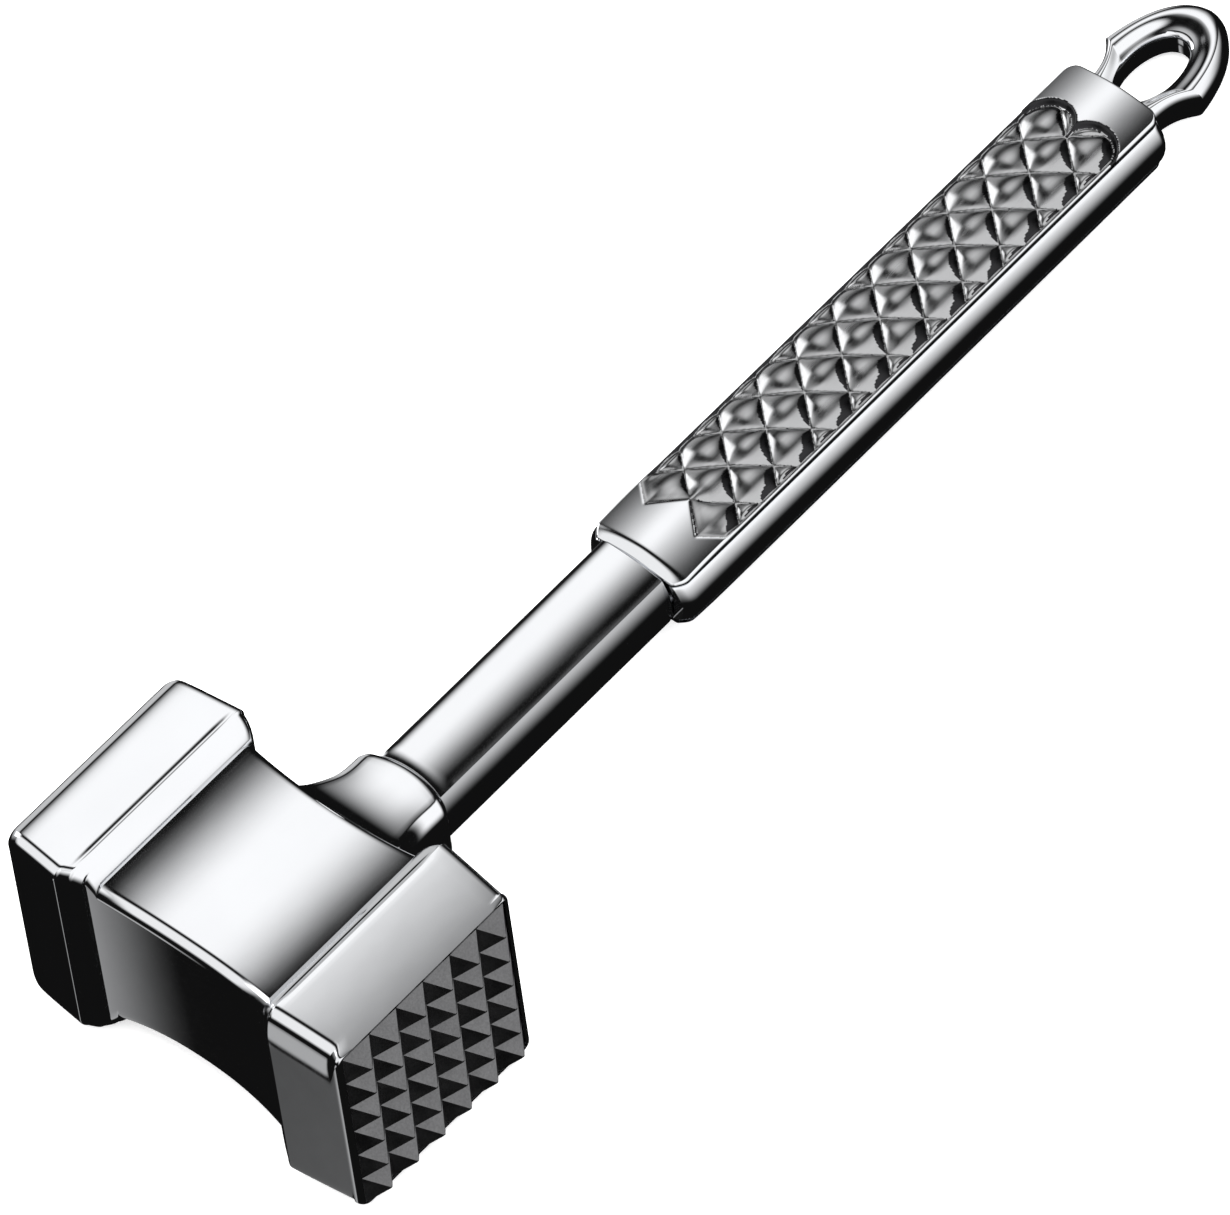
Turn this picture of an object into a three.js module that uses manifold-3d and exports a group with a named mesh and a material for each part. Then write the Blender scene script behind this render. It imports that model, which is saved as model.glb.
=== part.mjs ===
// Meat mallet: a waisted double-ended head, a shank and a sandwich grip, drawn together by one
// tie rod that runs inside them, with a hanging loop in the far end.
// Millimetres. The handle lies along +X, from the head to the loop. The broad faces of the handle
// look along +Z and -Z. The toothed striking face looks along -Y and the plain one along +Y.
import * as THREE from "three";
import { mergeVertices } from "three/addons/utils/BufferGeometryUtils.js";
import Module from "manifold-3d";

// ---- driving dimensions ----
const SEAT = 0.25; // clearance between two seated pieces
const REACH = 1; // how far a cutter runs past the face it opens

const HEAD = {
  halfWidth: 22, // along X, at the toothed face
  halfHeight: 22.5, // along Z, at the toothed face
  plainHalfWidth: 21.5,
  plainHalfHeight: 21.6,
  innerNose: 23.1, // from the axis to the nose side, at the blocks' waist ends
  innerHandle: 23.4, // the same on the handle side
  innerHeight: 23.4, // the same above and below
  edge: 2, // round on the long edges
  toothRim: 38.5, // rim plane of the toothed end, from the handle axis
  plainFace: 38.6, // plane of the plain striking face, from the handle axis
  blockInner: 23.2, // where each block's flat ends, towards the waist
  shoulderFoot: 17.8, // where the convex shoulder meets the waist
  shoulderDrop: 3.5,
  noseStretch: 1.09, // how much further out the plain block's nose side starts to fall away
  waistDropNose: 5.1, // how far the waist's middle lies inside the block, on the nose side
  waistDropHandle: 3.4, // the same on the handle side
  waistDropZ: 5.7, // the same above and below
};
const BOSS = { end: 38.9, halfWidth: 10.2, halfHeight: 7.6, crown: 1.2, corner: 3.6, flare: 17 };
const SHANK = { halfWidth: 6.9, halfHeight: 6, sideBulge: 2.1, crown: 0.7, corner: 0.6 };
const GRIP = {
  start: 96.8,
  end: 227,
  halfWidth: 10.6,
  coreHalfHeight: 4.9,
  sideBulge: 0.5,
  corner: 0.8,
  lip: 2.6, // length of the chamfer round the front end
  lipDrop: 1.6,
  endRound: 2.6, // round of the far end's upright corners
};
const PANEL = { edgeTop: 6.1, crown: 2.2, halfWidth: 10.4 };
const RELIEF = {
  firstNode: 111.7, // X of the first groove crossing on the centre line
  pitch: 10.15, // length of one diamond along X
  row: 5.9, // half the height of one diamond along Y
  repeats: 10,
  depth: 0.9,
  halfField: 9.6,
};
const TEETH = { perSide: 6, pitchX: 6.85, pitchZ: 7, height: 3.3, tip: 0.5, rim: 1.2, base: 3.6 };
const LOOP = {
  halfThickness: 3.7,
  rootHalf: 6.9,
  neckX: 232,
  shoulderX: 237,
  shoulderHalf: 11.3,
  tipX: 253.3,
  holeHalf: 6,
  holeEnd: 245.2,
  bevel: 0.8,
};
const SPIGOT = { front: 5.2, frontLength: 13.6, rear: 3.9, rearLength: 13.6 };
const DOWEL = { radius: 1, length: 11, frontY: 7.25, rearY: 6.8 };
const ROD = { radius: 2.5, start: 4, end: 210.2, chamfer: 0.6 };
const NUT = { radius: 3.7, length: 6, bore: 4, seat: 200, driveSlot: 1.2 };
const PANEL_PIN = { radius: 1.5, y: 6.6, near: 104.6, far: 220, halfLength: 5.9 };
const TOOTH_PIN = { radius: 1.5, spread: 14, intoPlate: 2.4, intoHead: 7 };
const TANG = { start: 222.2, halfWidth: 7.3, spigotStart: 212.5, pinX: 216, pinRadius: 1.2 };

const FINISH = {
  plated: { color: 0xd4d6d9, roughness: 0.12, metalness: 1 },
  panel: { color: 0xc3c5c8, roughness: 0.2, metalness: 1 },
  cast: { color: 0x77797b, roughness: 0.55, metalness: 0.8 },
  steel: { color: 0x9ea1a5, roughness: 0.35, metalness: 1 },
};

const wasm = await Module();
wasm.setup();

// ---- solids ----

function solid(geometry) {
  const bare = geometry.clone();
  bare.deleteAttribute("normal");
  bare.deleteAttribute("uv");
  const merged = mergeVertices(bare, 1e-4);
  const mesh = new wasm.Mesh({
    numProp: 3,
    vertProperties: new Float32Array(merged.attributes.position.array),
    triVerts: new Uint32Array(merged.index.array),
  });
  return new wasm.Manifold(mesh);
}

function geometryOf(manifold) {
  const mesh = manifold.getMesh();
  const geometry = new THREE.BufferGeometry();
  geometry.setAttribute("position", new THREE.BufferAttribute(mesh.vertProperties, mesh.numProp));
  geometry.setIndex(new THREE.BufferAttribute(mesh.triVerts, 1));
  const faceted = geometry.toNonIndexed();
  faceted.computeVertexNormals();
  return faceted;
}

function box(low, high) {
  const size = high.map((value, axis) => value - low[axis]);
  const centre = high.map((value, axis) => (value + low[axis]) / 2);
  return solid(new THREE.BoxGeometry(...size).translate(...centre));
}

// A round bar along X, Y or Z between two places on that axis.
function bar(axis, radius, from, to, centre = [0, 0, 0], segments = 32) {
  const geometry = new THREE.CylinderGeometry(radius, radius, to - from, segments);
  const middle = [...centre];
  if (axis === "x") geometry.rotateZ(-Math.PI / 2);
  if (axis === "z") geometry.rotateX(Math.PI / 2);
  middle["xyz".indexOf(axis)] = (from + to) / 2;
  return solid(geometry.translate(...middle));
}

// A rounded rectangle in Y and Z whose four sides may swell outwards.
function sectionRing(x, section) {
  const { halfWidth, halfHeight, corner, crown = 0, sideBulge = 0, shiftY = 0 } = section;
  const outline = [];
  const cornerSteps = 4;
  const sideSteps = crown || sideBulge ? 6 : 1;
  const inY = halfWidth - corner;
  const inZ = halfHeight - corner;
  const corners = [
    [inY, inZ],
    [-inY, inZ],
    [-inY, -inZ],
    [inY, -inZ],
  ];
  corners.forEach(([centreY, centreZ], index) => {
    for (let step = 0; step <= cornerSteps; step++) {
      const angle = (index + step / cornerSteps) * (Math.PI / 2);
      const y = centreY + corner * Math.cos(angle);
      const z = centreZ + corner * Math.sin(angle);
      outline.push(new THREE.Vector2(y, z));
    }
    const last = outline[outline.length - 1];
    const [nextY, nextZ] = corners[(index + 1) % corners.length];
    const turned = (index + 1) * (Math.PI / 2);
    const nextY0 = nextY + corner * Math.cos(turned);
    const nextZ0 = nextZ + corner * Math.sin(turned);
    const next = new THREE.Vector2(nextY0, nextZ0);
    for (let step = 1; step < sideSteps; step++) {
      outline.push(last.clone().lerp(next, step / sideSteps));
    }
  });
  return outline.map(({ x: y, y: z }) => {
    const swellY = Math.sign(y) * sideBulge * Math.max(0, 1 - (z / halfHeight) ** 2);
    const swellZ = Math.sign(z) * crown * Math.max(0, 1 - (y / halfWidth) ** 2);
    return new THREE.Vector3(x, y + swellY + shiftY, z + swellZ);
  });
}

// A closed skin through rings of equal point count, laid out along +X.
function loft(rings) {
  const count = rings[0].length;
  const position = rings.flat().flatMap((point) => point.toArray());
  const index = [];
  rings.slice(1).forEach((_, ring) => {
    for (let side = 0; side < count; side++) {
      const next = (side + 1) % count;
      const here = ring * count;
      const ahead = here + count;
      index.push(here + side, here + next, ahead + next);
      index.push(here + side, ahead + next, ahead + side);
    }
  });
  const caps = [rings[0], rings[rings.length - 1]];
  caps.forEach((ring, end) => {
    const middle = new THREE.Vector3();
    ring.forEach((point) => middle.addScaledVector(point, 1 / count));
    const centre = position.length / 3;
    position.push(...middle.toArray());
    const first = end * (rings.length - 1) * count;
    for (let side = 0; side < count; side++) {
      const next = (side + 1) % count;
      const edge = [first + side, first + next];
      if (end === 0) edge.reverse();
      index.push(centre, ...edge);
    }
  });
  const geometry = new THREE.BufferGeometry();
  geometry.setAttribute("position", new THREE.Float32BufferAttribute(position, 3));
  geometry.setIndex(index);
  return solid(geometry);
}

// ---- head ----

// How far the head's side lies inside the block at a distance from the handle axis.
function waistDrop(distance, middleDrop) {
  if (distance >= HEAD.blockInner) return 0;
  if (distance >= HEAD.shoulderFoot) {
    const along = (HEAD.blockInner - distance) / (HEAD.blockInner - HEAD.shoulderFoot);
    return HEAD.shoulderDrop * (1 - Math.sqrt(1 - (0.98 * along) ** 2));
  }
  const foot = HEAD.shoulderDrop * (1 - Math.sqrt(1 - 0.98 ** 2));
  return foot + (middleDrop - foot) * (1 - (distance / HEAD.shoulderFoot) ** 2);
}

// A side's distance from the head's axis, growing from a striking face to its block's waist end.
function blockSide(at, toothHalf, plainHalf, inner) {
  const face = at > 0 ? HEAD.plainFace : HEAD.toothRim;
  const outer = at > 0 ? plainHalf : toothHalf;
  const grown = Math.min(1, (face - Math.abs(at)) / (face - HEAD.blockInner));
  return outer + (inner - outer) * grown;
}

// Places along the head where its section changes, with the round that ends each block.
function headStations() {
  const stations = [];
  const ends = [
    { at: -HEAD.toothRim, round: 0.5, side: 1 },
    { at: HEAD.plainFace, round: 3, side: -1 },
  ];
  const roundSteps = 4;
  ends.forEach(({ at, round, side }) => {
    for (let step = 0; step <= roundSteps; step++) {
      const angle = (step / roundSteps) * (Math.PI / 2);
      const inset = round * (1 - Math.sin(angle));
      stations.push({ at: at + side * round * (1 - Math.cos(angle)), inset });
    }
  });
  const shoulderSteps = 4;
  const shoulder = HEAD.blockInner - HEAD.shoulderFoot;
  const waistSteps = 5;
  for (const side of [-1, 1]) {
    for (let step = 0; step <= shoulderSteps; step++) {
      stations.push({ at: side * (HEAD.blockInner - (shoulder * step) / shoulderSteps), inset: 0 });
    }
    for (let step = 1; step < waistSteps; step++) {
      stations.push({ at: (side * HEAD.shoulderFoot * step) / waistSteps, inset: 0 });
    }
  }
  for (const place of [HEAD.blockInner, HEAD.shoulderFoot]) {
    stations.push({ at: place * HEAD.noseStretch, inset: 0 });
  }
  stations.push({ at: 0, inset: 0 });
  return stations.sort((a, b) => a.at - b.at);
}

function headBody() {
  const rings = headStations().map(({ at, inset }) => {
    const distance = Math.abs(at);
    const noseDistance = at > 0 ? at / HEAD.noseStretch : distance;
    const sideX = (inner) => blockSide(at, HEAD.halfWidth, HEAD.plainHalfWidth, inner);
    const nose = sideX(HEAD.innerNose) - waistDrop(noseDistance, HEAD.waistDropNose);
    const handle = sideX(HEAD.innerHandle) - waistDrop(distance, HEAD.waistDropHandle);
    const height = blockSide(at, HEAD.halfHeight, HEAD.plainHalfHeight, HEAD.innerHeight);
    return sectionRing(at, {
      halfWidth: (nose + handle) / 2 - inset,
      halfHeight: height - waistDrop(distance, HEAD.waistDropZ) - inset,
      corner: HEAD.edge,
      shiftY: (nose - handle) / 2,
    });
  });
  return loft(rings).rotate([0, 0, 90]);
}

// The square boss that carries the shank, flaring in a hollow curve into the waist.
function boss() {
  const steps = 8;
  const root = HEAD.innerHandle - HEAD.waistDropHandle - 1;
  const full = root + BOSS.flare;
  const widen = HEAD.shoulderFoot - 1 - BOSS.halfWidth;
  const waistTop = HEAD.innerHeight - HEAD.waistDropZ;
  const heighten = waistTop - BOSS.halfHeight - BOSS.crown - 0.2;
  const rings = [];
  for (let step = 0; step <= steps; step++) {
    const x = root + (BOSS.flare * step) / steps;
    const spread = 1 - Math.sqrt(1 - ((full - x) / BOSS.flare) ** 2);
    rings.push(
      sectionRing(x, {
        ...BOSS,
        halfWidth: BOSS.halfWidth + widen * spread,
        halfHeight: BOSS.halfHeight + heighten * spread,
      }),
    );
  }
  const round = 1.2;
  const inset = { halfWidth: BOSS.halfWidth - round, halfHeight: BOSS.halfHeight - round };
  rings.push(sectionRing(BOSS.end - round, BOSS));
  rings.push(sectionRing(BOSS.end, { ...BOSS, ...inset }));
  return loft(rings);
}

function headCasting() {
  const recessX = HEAD.halfWidth - TEETH.rim;
  const recessZ = HEAD.halfHeight - TEETH.rim;
  const recessFloor = -HEAD.toothRim + TEETH.base + 2 * SEAT;
  const socketEnd = BOSS.end - SPIGOT.frontLength - SEAT;
  let head = headBody().add(boss());
  head = head.subtract(
    box([-recessX, -HEAD.toothRim - REACH, -recessZ], [recessX, recessFloor, recessZ]),
  );
  head = head.subtract(bar("x", SPIGOT.front + SEAT, socketEnd, BOSS.end + REACH));
  head = head.subtract(bar("x", ROD.radius + SEAT, ROD.start - REACH, socketEnd + REACH));
  for (const side of [-1, 1]) {
    const centre = [0, side * DOWEL.frontY, 0];
    const floor = BOSS.end - DOWEL.length / 2 - SEAT;
    head = head.subtract(bar("x", DOWEL.radius + SEAT, floor, BOSS.end + REACH, centre, 16));
  }
  for (const [x, z] of toothPinPlaces()) {
    const top = recessFloor + TOOTH_PIN.intoHead + SEAT;
    const hole = bar("y", TOOTH_PIN.radius + SEAT, recessFloor - REACH, top, [x, 0, z], 16);
    head = head.subtract(hole);
  }
  return head;
}

// ---- toothed striking plate ----

function toothPinPlaces() {
  const spread = TOOTH_PIN.spread;
  return [
    [-spread, -spread],
    [spread, -spread],
    [-spread, spread],
    [spread, spread],
  ];
}

function toothPlateBack() {
  return -HEAD.toothRim + TEETH.base + SEAT;
}

function toothPlate() {
  const halfX = HEAD.halfWidth - TEETH.rim - SEAT;
  const halfZ = HEAD.halfHeight - TEETH.rim - SEAT;
  const back = toothPlateBack();
  const front = back - TEETH.base;
  let plate = box([-halfX, front, -halfZ], [halfX, back, halfZ]);
  const sink = 0.2;
  const land = 0.94;
  for (let column = 0; column < TEETH.perSide; column++) {
    for (let row = 0; row < TEETH.perSide; row++) {
      const x = (column - (TEETH.perSide - 1) / 2) * TEETH.pitchX;
      const z = (row - (TEETH.perSide - 1) / 2) * TEETH.pitchZ;
      const diagonal = Math.SQRT1_2;
      const tip = (TEETH.tip * diagonal) / TEETH.pitchX;
      const tooth = new THREE.CylinderGeometry(tip, diagonal, TEETH.height + sink, 4)
        .rotateY(Math.PI / 4)
        .rotateX(Math.PI)
        .scale(TEETH.pitchX * land, 1, TEETH.pitchZ * land)
        .translate(x, front + sink - (TEETH.height + sink) / 2, z);
      plate = plate.add(solid(tooth));
    }
  }
  for (const [x, z] of toothPinPlaces()) {
    const floor = back - TOOTH_PIN.intoPlate - SEAT;
    const hole = bar("y", TOOTH_PIN.radius + SEAT, floor, back + REACH, [x, 0, z], 16);
    plate = plate.subtract(hole);
  }
  return plate;
}

function toothPin(x, z) {
  const back = toothPlateBack();
  const from = back - TOOTH_PIN.intoPlate;
  return bar("y", TOOTH_PIN.radius, from, back + TOOTH_PIN.intoHead, [x, 0, z], 16);
}

// ---- shank ----

function shank() {
  const from = BOSS.end + SEAT;
  const to = GRIP.start - SEAT;
  const rearEnd = to + SPIGOT.rearLength;
  let body = loft([sectionRing(from, SHANK), sectionRing(to, SHANK)]);
  body = body.add(bar("x", SPIGOT.front, from - SPIGOT.frontLength, from + REACH));
  body = body.add(bar("x", SPIGOT.rear, to - REACH, rearEnd));
  body = body.subtract(bar("x", ROD.radius + SEAT, 0, GRIP.end));
  for (const side of [-1, 1]) {
    const front = [0, side * DOWEL.frontY, 0];
    const rear = [0, side * DOWEL.rearY, 0];
    const depth = DOWEL.length / 2 + SEAT;
    const hole = DOWEL.radius + SEAT;
    body = body.subtract(bar("x", hole, from - REACH, from + depth, front, 16));
    body = body.subtract(bar("x", hole, to - depth, to + REACH, rear, 16));
  }
  return body;
}

function dowel(joint, y) {
  return bar("x", DOWEL.radius, joint - DOWEL.length / 2, joint + DOWEL.length / 2, [0, y, 0], 16);
}

// ---- grip ----

// The places where the far end's upright corners turn in, and how far the side has come in there.
function farEndRound() {
  const radius = GRIP.endRound;
  const steps = 4;
  return Array.from({ length: steps + 1 }, (_, step) => {
    const angle = (step / steps) * (Math.PI / 2) * 0.92;
    return {
      x: GRIP.end - radius * (1 - Math.sin(angle) / Math.sin((Math.PI / 2) * 0.92)),
      narrow: radius * (1 - Math.cos(angle)),
    };
  });
}

function gripCore() {
  const full = { ...GRIP, halfHeight: GRIP.coreHalfHeight };
  const lip = {
    ...full,
    halfWidth: full.halfWidth - GRIP.lipDrop,
    halfHeight: full.halfHeight - SEAT,
  };
  let core = loft([
    sectionRing(GRIP.start, lip),
    sectionRing(GRIP.start + GRIP.lip, full),
    ...farEndRound().map(({ x, narrow }) =>
      sectionRing(x, { ...full, halfWidth: full.halfWidth - narrow }),
    ),
  ]);
  const socketEnd = GRIP.start + SPIGOT.rearLength + SEAT;
  core = core.subtract(bar("x", SPIGOT.rear + SEAT, GRIP.start - REACH, socketEnd));
  core = core.subtract(bar("x", ROD.radius + SEAT, socketEnd - REACH, NUT.seat + REACH));
  core = core.subtract(bar("x", NUT.bore, NUT.seat, GRIP.end + REACH));
  const slotY = TANG.halfWidth + SEAT;
  const slotZ = LOOP.halfThickness + SEAT;
  core = core.subtract(
    box([TANG.start - SEAT, -slotY, -slotZ], [GRIP.end + REACH, slotY, slotZ]),
  );
  for (const side of [-1, 1]) {
    const centre = [0, side * DOWEL.rearY, 0];
    const floor = GRIP.start + DOWEL.length / 2 + SEAT;
    core = core.subtract(bar("x", DOWEL.radius + SEAT, GRIP.start - REACH, floor, centre, 16));
  }
  const through = GRIP.coreHalfHeight + REACH;
  for (const [x, y] of panelPinPlaces()) {
    core = core.subtract(bar("z", PANEL_PIN.radius + SEAT, -through, through, [x, y, 0], 16));
  }
  const cross = [TANG.pinX, 0, 0];
  return core.subtract(bar("z", TANG.pinRadius + SEAT, -through, through, cross, 16));
}

function panelPinPlaces() {
  const { near, far, y } = PANEL_PIN;
  return [
    [near, -y],
    [near, y],
    [far, -y],
    [far, y],
  ];
}

// 0 along a groove and 1 on top of a diamond pillow.
function pillow(x, y) {
  const along = (x - RELIEF.firstNode) / RELIEF.pitch;
  const across = y / (2 * RELIEF.row);
  const fromGroove = (value) => Math.abs(value - Math.round(value)) * 2;
  return Math.sqrt(fromGroove(along + across) * fromGroove(along - across));
}

function panelTop(x, y) {
  const plain = PANEL.edgeTop + PANEL.crown * (1 - (y / PANEL.halfWidth) ** 2);
  const first = RELIEF.firstNode - RELIEF.pitch / 2;
  const last = RELIEF.firstNode + RELIEF.pitch * (RELIEF.repeats + 0.5);
  const inField = x > first && x < last && Math.abs(y) < RELIEF.halfField;
  return inField ? plain - RELIEF.depth * (1 - pillow(x, y)) : plain;
}

// The quilted plate on the upper broad face: a grid of heights over a flat back.
function gripPanel() {
  const back = GRIP.coreHalfHeight + SEAT;
  const quarter = RELIEF.pitch / 4;
  const steps = 4 * (RELIEF.repeats + 1);
  const xs = [GRIP.start, GRIP.start + GRIP.lip];
  for (let step = 0; step <= steps; step++) {
    xs.push(RELIEF.firstNode - RELIEF.pitch / 2 + step * quarter);
  }
  const corners = farEndRound();
  xs.push(...corners.map((corner) => corner.x));
  const half = RELIEF.row / 2;
  const halfYs = [half, 2 * half, 3 * half, RELIEF.halfField, PANEL.halfWidth];
  const ys = [...halfYs.map((y) => -y).reverse(), 0, ...halfYs];
  const lipFlat = 0.35;
  const rings = xs.map((x) => {
    const flatten = x === GRIP.start ? lipFlat : 1;
    const corner = corners.find((place) => place.x === x);
    const narrow = x === GRIP.start ? GRIP.lipDrop : corner ? corner.narrow : 0;
    const squeeze = (y) => y * (1 - narrow / PANEL.halfWidth);
    const top = ys.map((y) => {
      const height = back + (panelTop(x, y) - back) * flatten;
      return new THREE.Vector3(x, squeeze(y), height);
    });
    const bottom = ys.map((y) => new THREE.Vector3(x, squeeze(y), back));
    return [...bottom, ...top.reverse()];
  });
  let panel = loft(rings);
  for (const [x, y] of panelPinPlaces()) {
    const depth = PANEL_PIN.halfLength + SEAT;
    panel = panel.subtract(bar("z", PANEL_PIN.radius + SEAT, 0, depth, [x, y, 0], 16));
  }
  return panel;
}

function panelPin(x, y) {
  const { radius, halfLength } = PANEL_PIN;
  return bar("z", radius, -halfLength, halfLength, [x, y, 0], 16);
}

// ---- tie rod and what tightens it ----

function tieRod() {
  const { radius, start, end, chamfer } = ROD;
  const profile = [
    [0, start],
    [radius - chamfer, start],
    [radius, start + chamfer],
    [radius, end - chamfer],
    [radius - chamfer, end],
    [0, end],
  ];
  const points = profile.map(([across, along]) => new THREE.Vector2(across, along));
  return solid(new THREE.LatheGeometry(points, 24).rotateZ(-Math.PI / 2));
}

// A flat ring along +X, or one with a gap where a spring washer is split.
function ring(outer, inner, from, thickness, gap = 0) {
  const shape = new THREE.Shape();
  if (gap) {
    shape.absarc(0, 0, outer, gap, 2 * Math.PI - gap, false);
    shape.absarc(0, 0, inner, 2 * Math.PI - gap, gap, true);
    shape.closePath();
  } else {
    shape.absarc(0, 0, outer, 0, 2 * Math.PI, false);
    const hole = new THREE.Path();
    hole.absarc(0, 0, inner, 0, 2 * Math.PI, true);
    shape.holes.push(hole);
  }
  const options = { depth: thickness, bevelEnabled: false, curveSegments: 16 };
  const geometry = new THREE.ExtrudeGeometry(shape, options).rotateY(Math.PI / 2);
  return solid(geometry.translate(from, 0, 0));
}

const WASHER = { radius: 3.6, bore: 2.75, thickness: 1 };
const SPRING = { radius: 3.6, bore: 2.75, thickness: 1.4, gap: 0.12 };

function flatWasher() {
  return ring(WASHER.radius, WASHER.bore, NUT.seat + SEAT, WASHER.thickness);
}

function springWasher() {
  const from = NUT.seat + WASHER.thickness + 2 * SEAT;
  return ring(SPRING.radius, SPRING.bore, from, SPRING.thickness, SPRING.gap);
}

function tieRodNut() {
  const from = NUT.seat + WASHER.thickness + SPRING.thickness + 3 * SEAT;
  const to = from + NUT.length;
  const slot = NUT.driveSlot / 2;
  let nut = bar("x", NUT.radius, from, to);
  nut = nut.subtract(bar("x", ROD.radius + SEAT, from - REACH, to + REACH));
  return nut.subtract(box([to - REACH, -NUT.bore, -slot], [to + REACH, NUT.bore, slot]));
}

// ---- hanging loop ----

// Half of the ogee outline, from the tang to the tip, on the side given by sign.
function ogeeHalf(shape, sign, outward) {
  const { rootHalf, neckX, shoulderX, shoulderHalf, tipX } = LOOP;
  const y = (value) => sign * value;
  if (outward) {
    shape.lineTo(GRIP.end, y(rootHalf));
    shape.bezierCurveTo(neckX, y(rootHalf - 0.4), neckX, y(7.4), shoulderX, y(shoulderHalf));
    shape.bezierCurveTo(shoulderX + 6, y(10), tipX - 1.2, y(6), tipX, y(0));
  } else {
    shape.bezierCurveTo(tipX - 1.2, y(6), shoulderX + 6, y(10), shoulderX, y(shoulderHalf));
    shape.bezierCurveTo(neckX, y(7.4), neckX, y(rootHalf - 0.4), GRIP.end, y(rootHalf));
  }
}

function hangingLoop() {
  const { halfThickness, holeHalf, holeEnd, bevel } = LOOP;
  const outline = new THREE.Shape();
  outline.moveTo(TANG.start, -TANG.halfWidth + bevel);
  ogeeHalf(outline, -1, true);
  ogeeHalf(outline, 1, false);
  outline.lineTo(TANG.start, TANG.halfWidth - bevel);
  outline.closePath();
  const hole = new THREE.Path();
  const holeStart = GRIP.end + 0.8;
  const bulge = holeHalf + 1;
  hole.moveTo(holeStart, -4.2);
  hole.bezierCurveTo(holeStart + 6, -bulge, holeEnd - 2, -bulge - 0.4, holeEnd, 0);
  hole.bezierCurveTo(holeEnd - 2, bulge + 0.4, holeStart + 6, bulge, holeStart, 4.2);
  hole.closePath();
  outline.holes.push(hole);
  const options = {
    depth: 2 * (halfThickness - bevel),
    bevelThickness: bevel,
    bevelSize: bevel,
    bevelOffset: -bevel,
    bevelSegments: 2,
    curveSegments: 10,
  };
  const plate = new THREE.ExtrudeGeometry(outline, options);
  let loop = solid(plate.translate(0, 0, -(halfThickness - bevel)));
  loop = loop.add(bar("x", NUT.radius, TANG.spigotStart, TANG.start + 2 * REACH));
  const cross = [TANG.pinX, 0, 0];
  const through = NUT.radius + REACH;
  return loop.subtract(bar("z", TANG.pinRadius + SEAT, -through, through, cross, 16));
}

function loopPin() {
  const half = GRIP.coreHalfHeight - SEAT;
  return bar("z", TANG.pinRadius, -half, half, [TANG.pinX, 0, 0], 16);
}

// ---- the assembly ----

const mallet = new THREE.Group();
const tipOfTeeth = HEAD.toothRim + TEETH.height - SEAT;
const middleX = (LOOP.tipX - HEAD.innerNose) / 2;
const middleY = (HEAD.plainFace - tipOfTeeth) / 2;
mallet.position.set(-middleX, -middleY, HEAD.innerHeight);

function addPiece(name, finish, shape) {
  const mesh = new THREE.Mesh(geometryOf(shape), new THREE.MeshStandardMaterial(FINISH[finish]));
  mesh.name = name;
  mallet.add(mesh);
}

addPiece("head_casting", "plated", headCasting());
addPiece("tooth_plate", "cast", toothPlate());
toothPinPlaces().forEach(([x, z], place) => {
  addPiece("tooth_plate_pin_" + (place + 1), "steel", toothPin(x, z));
});
addPiece("shank", "plated", shank());
[-1, 1].forEach((side, place) => {
  const number = place + 1;
  addPiece("head_dowel_" + number, "steel", dowel(BOSS.end, side * DOWEL.frontY));
  addPiece("grip_dowel_" + number, "steel", dowel(GRIP.start, side * DOWEL.rearY));
});
addPiece("grip_core", "plated", gripCore());
addPiece("upper_grip_panel", "panel", gripPanel());
addPiece("lower_grip_panel", "panel", gripPanel().rotate([180, 0, 0]));
panelPinPlaces().forEach(([x, y], place) => {
  addPiece("grip_panel_pin_" + (place + 1), "steel", panelPin(x, y));
});
addPiece("tie_rod", "steel", tieRod());
addPiece("flat_washer", "steel", flatWasher());
addPiece("spring_washer", "steel", springWasher());
addPiece("tie_rod_nut", "steel", tieRodNut());
addPiece("hanging_loop", "plated", hangingLoop());
addPiece("loop_pin", "steel", loopPin());

export default mallet;
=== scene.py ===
# Looks of the meat mallet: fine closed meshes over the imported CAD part, bright plating and studio light.
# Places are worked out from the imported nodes. Local sizes are millimetres from the crossing of the head's
# and the handle's axes, with +X along the handle, +Y towards the plain face and +Z out of the grip's
# broad face. The nose is the side of the head that faces away from the handle.
import math

import bpy
import numpy as np
from mathutils import Matrix, Vector


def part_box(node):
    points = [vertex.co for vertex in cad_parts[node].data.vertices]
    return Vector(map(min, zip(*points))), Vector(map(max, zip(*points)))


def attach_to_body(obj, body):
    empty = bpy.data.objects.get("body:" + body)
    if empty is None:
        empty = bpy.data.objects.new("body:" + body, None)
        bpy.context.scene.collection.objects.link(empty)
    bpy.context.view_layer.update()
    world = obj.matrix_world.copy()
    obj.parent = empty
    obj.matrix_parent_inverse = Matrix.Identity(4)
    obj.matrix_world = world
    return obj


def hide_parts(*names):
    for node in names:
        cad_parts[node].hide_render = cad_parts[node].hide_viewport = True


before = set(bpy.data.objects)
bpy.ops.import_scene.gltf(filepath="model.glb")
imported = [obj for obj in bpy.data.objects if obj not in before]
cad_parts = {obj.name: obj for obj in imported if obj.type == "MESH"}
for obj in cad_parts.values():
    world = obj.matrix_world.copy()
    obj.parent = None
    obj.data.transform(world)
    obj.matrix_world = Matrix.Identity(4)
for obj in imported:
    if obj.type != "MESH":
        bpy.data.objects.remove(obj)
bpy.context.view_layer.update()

MM = 0.001
BODY = "root"
QUARTER = math.pi / 2


# ---- where things are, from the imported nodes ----

def node_box(name):
    low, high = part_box(name)
    return np.array(low), np.array(high)


head_low, head_high = node_box("head_casting")
plate_low, plate_high = node_box("tooth_plate")
shank_low, shank_high = node_box("shank")
core_low, core_high = node_box("grip_core")
panel_low, panel_high = node_box("upper_grip_panel")
loop_high = node_box("hanging_loop")[1]

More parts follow.
